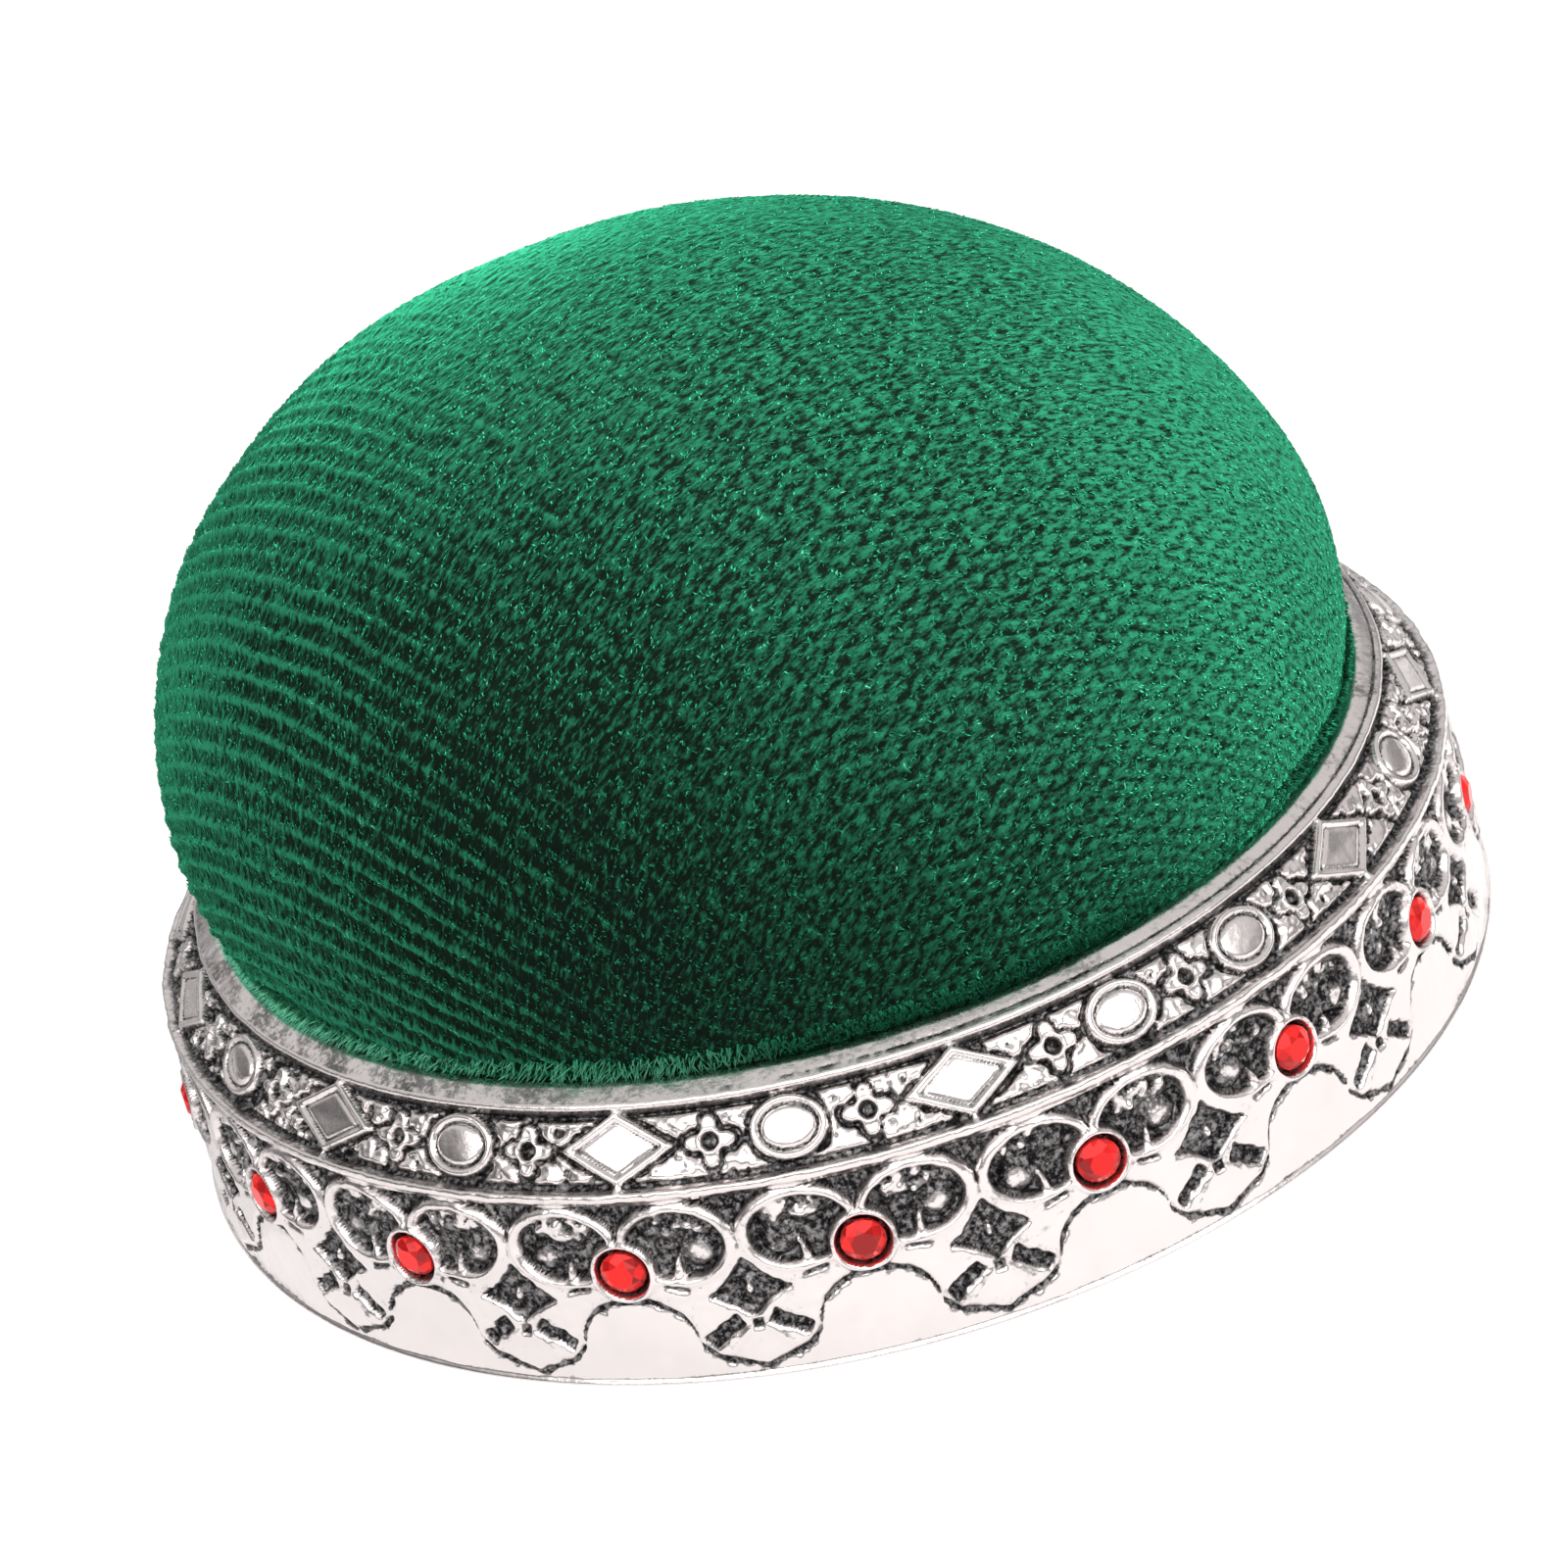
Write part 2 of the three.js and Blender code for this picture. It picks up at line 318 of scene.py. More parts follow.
def wall_relief(turn):
    """Height over the plain section for every row and column, with the slight waviness and
    roughness that a casting has everywhere, and how much dark oxide lies there: most in what is
    deep or hemmed in and a little round it. The lip is darkened too: all over, along a fine sunk
    line just inside the rim on the right front, and more towards its left side."""
    around = BAND_RADIUS * turn[None, :]
    length = 2 * pi * BAND_RADIUS
    height = np.zeros((len(section), len(turn)))
    clean = np.zeros_like(height)
    pocket = np.zeros_like(height)
    run = np.concatenate([[0], np.cumsum(np.linalg.norm(np.diff(section, axis=0), axis=1))])
    up = run[:, None] + 0 * around
    along = around + 0 * up
    grain = 0.75 * lumps(along, up, 0.42, 11, length) + 0.5 * lumps(along, up, 0.2, 12, length)
    wander_u = 0.1 * lumps(along, up, 2.6, 13, length)
    wander_v = 0.08 * lumps(along, up, 3.1, 14, length)

    rows = part_of_row == "lower"
    unit = (turn - FIRST_STONE + UNIT / 2) % UNIT - UNIT / 2
    off_stone = BAND_RADIUS * unit[None, :]
    calm = ramp(np.hypot(off_stone, section[rows, 1][:, None] - STONE_Z), 1.5, 2.4)
    u = off_stone + wander_u[rows] * calm
    v = section[rows, 1][:, None] + wander_v[rows] * calm
    height[rows], clean[rows], pocket[rows] = lower_relief(u, v, grain[rows])

    rows = part_of_row == "frieze"
    slope = np.linalg.norm(section[rows] - section[rows].mean(0), axis=1)
    slope *= np.sign(section[rows, 1] - section[rows, 1].mean())
    height[rows] = frieze_relief(turn, slope[:, None] + wander_v[rows] * 0.6, grain[rows])

    lip = part_of_row == "lip"
    off_rim_line = section[lip, 0][:, None] - RIM_LINE_RADIUS
    rim_line = crest(off_rim_line, 0.05) * ramp(np.cos(turn - RIM_LINE_SIDE) + 0.2 * grain[lip], 0.5, 0.7)
    height[lip] -= 0.06 * rim_line

    plain = np.isin(part_of_row, ["ridge", "rim", "lip", "lower", "frieze"])
    height[plain] += 0.012 * grain[plain] + 0.03 * lumps(along, up, 1.3, 15, length)[plain]
    height[part_of_row == "ridge"] += 0.03 * grain[part_of_row == "ridge"]
    height = height * 0.4 + blurred(height, 1) * 0.6
    deep = ramp(-height, 0.08, 0.3) * (1 - clean)
    cavity = ramp(blurred(height, 4) - height, 0.015, 0.09)
    halo = blurred(deep + cavity, 5)
    worn = lumps(along, up, 7.0, 17, length) + 0.6 * lumps(along, up, 1.6, 18, length)
    deep *= 0.92 - 0.12 * worn - 0.22 * pocket * (1 + worn)
    oxide = np.clip(deep + 0.8 * cavity + 0.24 * halo + 0.05 * worn, 0, 1) - 0.25 * clean
    # The lip is darkened all over, along the line just inside the rim, and more towards its left side.
    oxide[lip] += 0.8 * rim_line + 0.25 + (0.25 + 0.2 * worn[lip]) * ramp(-np.cos(turn), 0.3, 0.9)
    oxide[np.isin(part_of_row, ["recess", "foot", "inside"])] = 0
    return height, oxide


def new_object(name, points, faces, smooth=True):
    """A mesh object from points in millimetres and faces, its origin at the world's."""
    mesh = bpy.data.meshes.new(name)
    mesh.from_pydata(np.asarray(points, float) * MM, [], faces)
    mesh.polygons.foreach_set("use_smooth", np.full(len(mesh.polygons), smooth))
    mesh.update()
    piece = bpy.data.objects.new(name, mesh)
    scene.collection.objects.link(piece)
    return piece


def grid_faces(rows, columns, wrap_rows=False, wrap_columns=False):
    """Quads between neighbours of a rows x columns grid of points, which may close on itself."""
    below = np.arange(rows - (not wrap_rows))
    left = np.arange(columns - (not wrap_columns))
    i, j = np.meshgrid(below, left, indexing="ij")
    i, j = i.ravel(), j.ravel()
    right = (j + 1) % columns
    above = (i + 1) % rows
    return np.stack([i * columns + j, i * columns + right, above * columns + right, above * columns + j], 1)


def set_attribute(piece, name, values):
    """Stores one number a vertex, for the piece's material to read."""
    layer = piece.data.attributes.new(name, "FLOAT", "POINT")
    layer.data.foreach_set("value", np.asarray(values, np.float32).ravel())


def turned_points(radius, height, turn):
    """Points of a surface of revolution whose radius and height are rows x columns arrays."""
    return np.stack([radius * np.cos(turn), radius * np.sin(turn), height], -1)


columns_in_arc = round(2 * pi * BAND_RADIUS / WALL_ARCS / COLUMN_PITCH)
wall_arcs = []
for number in range(WALL_ARCS):
    start = FIRST_STONE + UNIT / 2 + number * 2 * pi / WALL_ARCS
    turn = start + np.linspace(0, 2 * pi / WALL_ARCS, columns_in_arc + 1)
    margin = np.arange(-BLUR_MARGIN, columns_in_arc + 1 + BLUR_MARGIN) / columns_in_arc
    height, oxide = wall_relief(start + margin * 2 * pi / WALL_ARCS)
    height, oxide = height[:, BLUR_MARGIN:-BLUR_MARGIN], oxide[:, BLUR_MARGIN:-BLUR_MARGIN]
    radius = section[:, 0][:, None] + section_normal[:, 0][:, None] * height
    level = section[:, 1][:, None] + section_normal[:, 1][:, None] * height
    points = turned_points(radius, level, turn[None, :]).reshape(-1, 3)
    rows, columns = height.shape
    faces = grid_faces(rows, columns, wrap_rows=True).tolist()
    faces.append([row * columns for row in range(rows)][::-1])
    faces.append([row * columns + columns - 1 for row in range(rows)])
    arc = new_object(f"tray_wall_{number + 1}", points, faces)
    edge_verts = np.empty(len(arc.data.edges) * 2, int)
    arc.data.edges.foreach_get("vertices", edge_verts)
    edge_columns = edge_verts.reshape(-1, 2) % columns
    ends = (edge_columns == 0).all(1) | (edge_columns == columns - 1).all(1)
    sharp = arc.data.attributes.new("sharp_edge", "BOOLEAN", "EDGE")
    sharp.data.foreach_set("value", ends)
    set_attribute(arc, "oxide", oxide)
    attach(arc, "root")
    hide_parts("base_casting")
    wall_arcs.append(arc)


class Number:
    """A number that varies over a surface. Sums, differences and products add Math nodes."""

    def __init__(self, finish, socket):
        self.finish = finish
        self.socket = socket

    def math(self, operation, first, second):
        return self.finish.node("ShaderNodeMath", {"operation": operation}, {0: first, 1: second})

    def __add__(self, other):
        return self.math("ADD", self, other)

    def __sub__(self, other):
        return self.math("SUBTRACT", self, other)

    def __rsub__(self, other):
        return self.math("SUBTRACT", other, self)

    def __mul__(self, other):
        return self.math("MULTIPLY", self, other)

    __radd__ = __add__
    __rmul__ = __mul__


class Finish:
    """One material, written down node by node."""

    def __init__(self, name, **constants):
        self.material = bpy.data.materials.new(name)
        self.material.use_nodes = True
        self.tree = self.material.node_tree
        self.shader = self.tree.nodes["Principled BSDF"]
        for socket, value in constants.items():
            self.shader.inputs[socket.replace("_", " ")].default_value = value

    def node(self, kind, settings=None, inputs=None, output=0):
        """Adds a node: its settings first, then its sockets' values or links."""
        node = self.tree.nodes.new(kind)
        for name, value in (settings or {}).items():
            setattr(node, name, value)
        for socket, value in (inputs or {}).items():
            self.feed(node.inputs[socket], value)
        return Number(self, node.outputs[output])

    def feed(self, socket, value):
        if isinstance(value, Number):
            self.tree.links.new(value.socket, socket)
        else:
            socket.default_value = value

    def mix(self, factor, first, second):
        """One colour over another."""
        first = (*first, 1) if isinstance(first, tuple) else first
        second = (*second, 1) if isinstance(second, tuple) else second
        inputs = {"Factor": factor, 6: first, 7: second}
        return self.node("ShaderNodeMix", {"data_type": "RGBA"}, inputs, output=2)

    def ramp(self, value, low, high):
        """0 below low, 1 above high, smooth between."""
        inputs = {"Value": value, "From Min": low, "From Max": high}
        return self.node("ShaderNodeMapRange", {"interpolation_type": "SMOOTHSTEP"}, inputs)

    def attribute(self, name):
        return self.node("ShaderNodeAttribute", {"attribute_name": name}, output="Fac")

    def place(self):
        """Where the surface is, in the object's own metres."""
        return self.node("ShaderNodeTexCoord", output="Object")

    def noise(self, scale, detail=2.0, roughness=0.5, place=None):
        """Cloudy noise whose features are about 1 / scale metres across."""
        inputs = {"Vector": place or self.place(), "Scale": scale, "Detail": detail, "Roughness": roughness}
        return self.node("ShaderNodeTexNoise", None, inputs)

    def bump(self, height, distance, strength=1.0):
        inputs = {"Height": height, "Distance": distance, "Strength": strength}
        return self.node("ShaderNodeBump", None, inputs)

    def wear(self, *pieces, **varying):
        """Feeds the shader's varying sockets and gives the finish to the pieces."""
        for socket, value in varying.items():
            self.feed(self.shader.inputs[socket.replace("_", " ")], value)
        for piece in pieces:
            piece.data.materials.clear()
            piece.data.materials.append(self.material)


silver = Finish("antique_silver", Metallic=1.0)
speckle = silver.noise(3600, 4.0, 0.68)
blotch = silver.noise(520, 3.0, 0.6)
dark = silver.attribute("oxide") + 1.7 * (speckle - 0.5) + 1.1 * (blotch - 0.5)
sunk = silver.ramp(dark, 0.26, 0.72)
bright = silver.mix(blotch, (0.87, 0.8, 0.785), (0.77, 0.71, 0.695))
tarnish = silver.mix(silver.ramp(speckle, 0.42, 0.68), (0.014, 0.013, 0.014), (0.36, 0.34, 0.34))
silver.wear(
    *wall_arcs,
    Base_Color=silver.mix(sunk, bright, tarnish),
    Roughness=0.15 + 0.1 * blotch + 0.3 * sunk,
    Normal=silver.bump(speckle, 0.00003, 0.6),
)

# ---------------------------------------------------------------------------------------------
# The tray's floor
# The web of the same casting, flat above where the cushion is glued and sunk a little underneath.

floor_radius = np.array([0.0, 13.0, 26.0, 26.8, 26.8, 26.0, 13.0, 0.0])
floor_level = np.array([0.9, 0.9, 0.9, 0.9, 2.0, 2.0, 2.0, 2.0])


def turned_solid(name, radius, level, columns, wobble=None):
    """A solid of revolution from a section that starts and ends on the axis. wobble, rows x
    columns, multiplies the radius. The two points on the axis close the ends."""
    turn = np.linspace(0, 2 * pi, columns, endpoint=False)[None, :]
    rings = np.asarray(radius)[1:-1, None] * (1 if wobble is None else wobble[1:-1]) + 0 * turn
    levels = np.asarray(level)[1:-1, None] + 0 * turn
    points = turned_points(rings, levels, turn).reshape(-1, 3)
    bottom = len(points)
    points = np.concatenate([points, [[0, 0, level[0]], [0, 0, level[-1]]]])
    faces = grid_faces(len(rings), columns, wrap_columns=True).tolist()
    last = (len(rings) - 1) * columns
    faces += [[(j + 1) % columns, j, bottom] for j in range(columns)]
    faces += [[last + j, last + (j + 1) % columns, bottom + 1] for j in range(columns)]
    return new_object(name, points, faces)


tray_floor = turned_solid("tray_floor", floor_radius, floor_level, 96)
set_attribute(tray_floor, "oxide", np.zeros(len(tray_floor.data.vertices)))
tray_floor.data.materials.append(silver.material)
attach(tray_floor, "root")
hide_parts("base_casting")

# ---------------------------------------------------------------------------------------------
# The felt under the tray
# A disc of pressed wool felt, die-cut and glued into the shallow recess, so the casting's foot
# just clears the table round it. Its cut edge is a little fuzzy.

FELT_RADIUS = 26.4
felt_columns = 240
felt_turn = np.linspace(0, 2 * pi, felt_columns, endpoint=False)[None, :]
felt_edge = [26.3, FELT_RADIUS, 26.3]
felt_radius = np.concatenate([[0], np.linspace(3, 25.8, 24), felt_edge, np.linspace(25.8, 3, 6), [0]])
felt_level = np.concatenate([np.full(25, 0.14), [0.18, 0.5, 0.84], np.full(7, 0.88)])
felt_fuzz = 1 + 0.0016 * lumps(26 * felt_turn, felt_radius[:, None], 0.7, 31, 2 * pi * 26)
felt = turned_solid("felt_pad_cut", felt_radius, felt_level, felt_columns, felt_fuzz)
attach(felt, "root")
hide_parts("felt_pad")
wool = Finish("black_felt", Roughness=0.95, Sheen_Weight=0.3, Sheen_Roughness=0.5)
matted = wool.noise(2600, 6.0, 0.7)
wool.wear(
    felt,
    Base_Color=wool.mix(wool.ramp(matted, 0.35, 0.7), (0.008, 0.008, 0.009), (0.035, 0.034, 0.036)),
    Normal=wool.bump(matted, 0.00012),
)

# ---------------------------------------------------------------------------------------------
# Glue, board, thread and filling
# What holds the cushion together out of sight: a spread of hot glue on the tray's floor, a die-cut
# grey board, the doubled thread that gathers the cloth under it, and packed polyester fibre.

hot_glue = Finish("hot_glue", Roughness=0.3, Subsurface_Weight=0.2, Subsurface_Scale=0.001)
glue_cloud = hot_glue.noise(400, 3.0)
hot_glue.wear(
    hidden_nodes["glue_bed"],
    Base_Color=hot_glue.mix(glue_cloud, (0.78, 0.72, 0.56), (0.88, 0.85, 0.74)),
    Normal=hot_glue.bump(glue_cloud, 0.0002),
)
board = Finish("grey_board", Roughness=0.9)
board_fleck = board.noise(3000, 5.0, 0.7)
board.wear(
    hidden_nodes["backing_board"],
    Base_Color=board.mix(board.ramp(board_fleck, 0.3, 0.7), (0.2, 0.18, 0.15), (0.4, 0.37, 0.32)),
    Normal=board.bump(board_fleck, 0.00005),
)
thread = Finish("green_thread", Roughness=0.7, Sheen_Weight=0.4)
ply = thread.node("ShaderNodeTexWave", {"bands_direction": "DIAGONAL"},
                  {"Vector": thread.place(), "Scale": 900, "Distortion": 2.0})
thread.wear(
    hidden_nodes["gathering_thread"],
    Base_Color=thread.mix(ply, (0.004, 0.05, 0.03), (0.02, 0.2, 0.12)),
    Normal=thread.bump(ply, 0.0001),
)

DOME_RADIUS = 26.55
WAIST_Z = 16.4
TOP_Z = 36.2
LIP_Z = 12.72
LEAN = (-1.8, 1.5)
CLUMP = 0.012


def dome_section(margin, count):
    """Radius and height from the top down to the lip's neck, pulled in by a margin: a crown a
    little fuller than an ellipse, cos(t)^0.93 by sin(t), then a short tuck under the waist."""
    t = np.linspace(pi / 2, 0, count)
    crown_radius = (DOME_RADIUS - margin) * np.cos(t) ** 0.93
    crown_level = WAIST_Z + (TOP_Z - margin - WAIST_Z) * np.sin(t)
    tuck = np.linspace(0, 1, 12)[1:]
    tuck_radius = DOME_RADIUS - margin - 1.0 * tuck**2.2
    tuck_level = WAIST_Z - 3.9 * tuck
    return np.concatenate([crown_radius, tuck_radius]), np.concatenate([crown_level, tuck_level])


def leaned(points):
    """Leans what is above the lip, more the higher it is: it is packed a little to one side."""
    rise = np.clip((points[..., 2:] - LIP_Z) / (TOP_Z - LIP_Z), 0, None)
    return points + rise * np.array([*LEAN, 0.0])


def mesh_points(piece):
    """The points of a piece's mesh in metres, one x, y, z a row."""
    points = np.empty(len(piece.data.vertices) * 3)
    piece.data.vertices.foreach_get("co", points)
    return points.reshape(-1, 3)


def lean_piece(piece, scale=1):
    """Leans the points of a piece's mesh, and makes it scale times as large."""
    points = leaned(mesh_points(piece) / MM) * MM * scale
    piece.data.vertices.foreach_set("co", points.ravel())


fill_radius, fill_level = dome_section(1.5, 40)
fill_radius = np.concatenate([[0], [22, 24.2, 24.7, 24.6], fill_radius[::-1]])
fill_level = np.concatenate([[4.8], [4.8, 5.6, 7.0, 9.5], fill_level[::-1]])
fill_radius[-1] = 0
fill_columns = 120
fill_turn = np.linspace(0, 2 * pi, fill_columns, endpoint=False)[None, :]
clumps = 1 - CLUMP + CLUMP * lumps(24 * fill_turn, fill_level[:, None], 4.0, 41, 2 * pi * 24)
filling = turned_solid("packed_fibre", fill_radius, fill_level, fill_columns, clumps)
lean_piece(filling)
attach(filling, "root")
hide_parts("fibre_filling")
fibre = Finish("polyester_fibre", Roughness=0.9, Sheen_Weight=0.5)
wisps = fibre.noise(1500, 8.0, 0.75)
fibre.wear(
    filling,
    Base_Color=fibre.mix(wisps, (0.7, 0.69, 0.66), (0.92, 0.91, 0.89)),
    Normal=fibre.bump(wisps, 0.0003),
)

# ---------------------------------------------------------------------------------------------
# The velvet cover
# One disc of ribbed cotton velvet, stretched over the filling and gathered under the board. Its
# grid of points follows the weave, so the ribs and stitches run true over the dome.

WEAVE_TURN = radians(32)
RIB = 1.1
STITCH = 0.77
WEAVE_HEIGHT = 0.1
GRID = 0.155
NECK_REACH = 41.6
SIM_SCALE = 10
SIM_VOXEL = 0.014
SIM_PRESSURE = 40.0
SIM_FRAMES = 20
HELD_BELOW = 0.7
SMOOTHINGS = 24
MOST_SWELL = 0.8

form_radius, form_level = dome_section(0, 400)
form_run = np.concatenate([[0], np.cumsum(np.hypot(np.diff(form_radius), np.diff(form_level)))])


def on_dome(x, y):
    """The point of the dome over the flat cloth's point x, y: as far from the top along the
    surface as it is from the cloth's middle, and in the same direction."""
    reach = np.hypot(x, y)
    turn = np.arctan2(y, x)
    radius = np.interp(reach, form_run, form_radius)
    level = np.interp(reach, form_run, form_level)
    return leaned(turned_points(radius, level, turn))


def stuffed_form():
    """The dome as cloth under pressure: a shell held at the lip and blown tight for twenty frames
    at ten times its size, where the solver is steady."""
    radius, level = dome_section(0, 30)
    radius = np.concatenate([[0], [24.6], radius[::-1]])
    level = np.concatenate([[level[-1] - 0.6], [level[-1] - 0.6], level[::-1]])
    radius[-1] = 0
    form = turned_solid("stuffed_form", radius, level, 72)
    lean_piece(form, SIM_SCALE)
    remesh = form.modifiers.new("even", "REMESH")
    remesh.mode = "VOXEL"
    remesh.voxel_size = SIM_VOXEL
    bake_modifiers(form)
    low = np.flatnonzero(mesh_points(form)[:, 2] < (LIP_Z + HELD_BELOW) * MM * SIM_SCALE)
    held = form.vertex_groups.new(name="held")
    held.add(low.tolist(), 1.0, "REPLACE")
    cloth = form.modifiers.new("cloth", "CLOTH")
    cloth.settings.quality = 6
    cloth.settings.use_pressure = True
    cloth.settings.uniform_pressure_force = SIM_PRESSURE
    cloth.settings.effector_weights.gravity = 0
    cloth.settings.tension_stiffness = 30
    cloth.settings.compression_stiffness = 30
    cloth.settings.bending_stiffness = 2.0
    cloth.settings.vertex_group_mass = "held"
    for number in range(1, SIM_FRAMES + 1):
        scene.frame_set(number)
    bake_modifiers(form)
    scene.frame_set(1)
    form.data.transform(Matrix.Scale(1 / SIM_SCALE, 4))
    return form


def bake_modifiers(piece):
    """Puts the result of the piece's modifiers into its mesh, and removes them."""
    evaluated = piece.evaluated_get(bpy.context.evaluated_depsgraph_get())
    mesh = bpy.data.meshes.new_from_object(evaluated)
    piece.modifiers.clear()
    piece.data = mesh


steps = int(NECK_REACH / GRID) + 1
line = np.arange(-steps, steps + 1) * GRID
across_ribs, along_ribs = np.meshgrid(line, line, indexing="ij")
cloth_x = across_ribs * cos(WEAVE_TURN) + along_ribs * sin(WEAVE_TURN)
cloth_y = across_ribs * sin(WEAVE_TURN) - along_ribs * cos(WEAVE_TURN)
reach = np.hypot(cloth_x, cloth_y)
pull_in = np.minimum(1, NECK_REACH / np.maximum(reach, 1e-6))
cloth_x, cloth_y = cloth_x * pull_in, cloth_y * pull_in
across_ribs, along_ribs = across_ribs * pull_in, along_ribs * pull_in
inside = reach < NECK_REACH
size = len(line)
dome = on_dome(cloth_x, cloth_y)


def surface_normals(points):
    """Unit normals of a grid of points, from the cross product of its two directions."""
    normal = np.cross(np.gradient(points, axis=1), np.gradient(points, axis=0))
    return normal / np.maximum(np.linalg.norm(normal, axis=-1, keepdims=True), 1e-12)


quads = grid_faces(size, size)[:, ::-1]
kept = inside.ravel()[quads].any(1)
quads = quads[kept]
used = np.zeros(size * size, bool)
used[quads] = True
renumber = np.cumsum(used) - 1

form = stuffed_form()
shell = new_object("shell", dome.reshape(-1, 3)[used], renumber[quads].tolist())
wrap = shell.modifiers.new("wrap", "SHRINKWRAP")
wrap.target = form
wrap.wrap_method = "PROJECT"
wrap.use_negative_direction = True
wrap.use_positive_direction = True
wrap.project_limit = 2 * MM
bake_modifiers(shell)
swell = np.zeros((size * size, 3))
swell[used] = mesh_points(shell) / MM - dome.reshape(-1, 3)[used]
swell = swell.reshape(size, size, 3)
for _ in range(SMOOTHINGS):
    neighbours = [np.roll(swell, step, axis) for axis in (0, 1) for step in (1, -1)]
    swell = sum(neighbours, swell) / 5
amount = np.linalg.norm(swell, axis=-1, keepdims=True)
swell *= np.minimum(1, MOST_SWELL / np.maximum(amount, 1e-6))
fade = 1 - ramp(np.hypot(cloth_x, cloth_y), NECK_REACH - 5, NECK_REACH - 1)[..., None]
dome = dome + swell * fade
bpy.data.objects.remove(form)
bpy.data.objects.remove(shell)

# The ribs stand clear on one side, the stitches between them show low at the front, and elsewhere
# the pile hides both and leaves a fleck. The same numbers colour the cloth, light on the crests and
# dark in the hollows: painted light and shade. The cloth is also painted lighter on the right and at
# the far left edge, and darker at the front left and the back left: partly the nap's lay, partly
# painted light and shade.
normal = surface_normals(dome)
over = across_ribs + 60
down = along_ribs + 60
drift = 0.16 * lumps(over, down, 4.2, 51) + 0.09 * lumps(over, down, 0.7, 56)
rib_phase = 2 * pi * (across_ribs + drift) / RIB
stitch_phase = 2 * pi * (along_ribs + 0.16 * lumps(over, down, 1.7, 52)) / STITCH
clear = (0.12 + 0.58 * ramp(-cloth_x, 4, 22)) * (1 + 0.4 * lumps(over, down, 6.0, 57))
rib = 2.1 * (0.5 + 0.5 * np.cos(rib_phase)) ** 4 - 0.57
stitched = 0.2 + 0.4 * ramp(-cloth_y, 8, 22) * ramp(cloth_x, -4, 8)
stagger = stitched * np.cos(rib_phase / 2) * np.cos(stitch_phase)
fleck = lumps(over * 0.7, down, 0.27, 58) * (1 - 0.4 * ramp(cloth_x, 8, 24))
weave_and_painted_light = clear * rib + stagger + 0.36 * fleck
# Lighter on the right and at the far left edge, darker at the front left and the back left: painted light
# and shade, partly the nap's lay.
nap_and_painted_light = 0.36 * ramp(cloth_x, 12, 26) + 0.42 * ramp(-cloth_x, 16, 27) * ramp(cloth_y, -16, -2)
nap_and_painted_light = nap_and_painted_light - 0.55 * crest(cloth_x + 12, 11) * ramp(-cloth_y, 8, 24)
nap_and_painted_light = nap_and_painted_light - 0.4 * ramp(-cloth_x, -8, 4) * ramp(cloth_y, 3, 16)
unevenness = 0.12 * lumps(over, down, 7.0, 54) + 0.16 * lumps(over, down, 9.0, 55)
cover_points = dome + normal * (WEAVE_HEIGHT * weave_and_painted_light + unevenness)[..., None]

# Below the lip the cloth carries on down inside the tray and under the board.
skirt = np.array([
    [25.3, 11.9], [25.9, 10.6], [26.2, 8.5], [26.1, 5.6], [25.2, 3.6], [23.4, 2.7], [16, 2.6], [7.6, 2.6]
])
flat_points = cover_points.reshape(-1, 3)[used]
faces = renumber[quads]
sides = np.concatenate([faces[:, [0, 1]], faces[:, [1, 2]], faces[:, [2, 3]], faces[:, [3, 0]]])
keys = np.sort(sides, axis=1)
_, first, counts = np.unique(keys, axis=0, return_index=True, return_counts=True)
border = sides[first[counts == 1]]
border_turn = np.arctan2(*(flat_points[border[:, 0]][:, [1, 0]].T))
order = np.argsort(border_turn)
border = border[order, 0]
border_turn = border_turn[order]
ring = len(border)
skirt_radius = skirt[:, :1] + 0 * border_turn
skirt_level = skirt[:, 1:] + 0 * border_turn
skirt_points = turned_points(skirt_radius, skirt_level, border_turn[None, :])
base_index = len(flat_points)
all_points = np.concatenate([flat_points, skirt_points.reshape(-1, 3)])
skirt_faces = grid_faces(len(skirt), ring, wrap_columns=True)[:, ::-1] + base_index
following = np.roll(border, -1)
first_ring = base_index + np.arange(ring)
join = np.stack([border, first_ring, np.roll(first_ring, -1), following], 1)
closing = (base_index + (len(skirt) - 1) * ring + np.arange(ring)).tolist()[::-1]
all_faces = faces.tolist() + join.tolist() + skirt_faces.tolist() + [closing]
cover = new_object("velvet_cloth", all_points, all_faces)


def add_cloth_map(piece, points_xy):
    """A UV map in metres of flat cloth, first across the ribs and then along them."""
    corner_verts = np.empty(len(piece.data.loops), int)
    piece.data.loops.foreach_get("vertex_index", corner_verts)
    layer = piece.data.uv_layers.new(name="cloth")
    layer.data.foreach_set("uv", points_xy[corner_verts].astype(np.float32).ravel())


weave_xy = np.stack([across_ribs, along_ribs], -1).reshape(-1, 2)[used]
skirt_xy = np.tile(weave_xy[border], (len(skirt), 1))
add_cloth_map(cover, np.concatenate([weave_xy, skirt_xy]) * MM)
weave_values = np.concatenate([(weave_and_painted_light + nap_and_painted_light).reshape(-1)[used], np.zeros(len(skirt) * ring)])
set_attribute(cover, "weave_and_painted_light", weave_values)
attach(cover, "root")
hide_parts("velvet_cover")

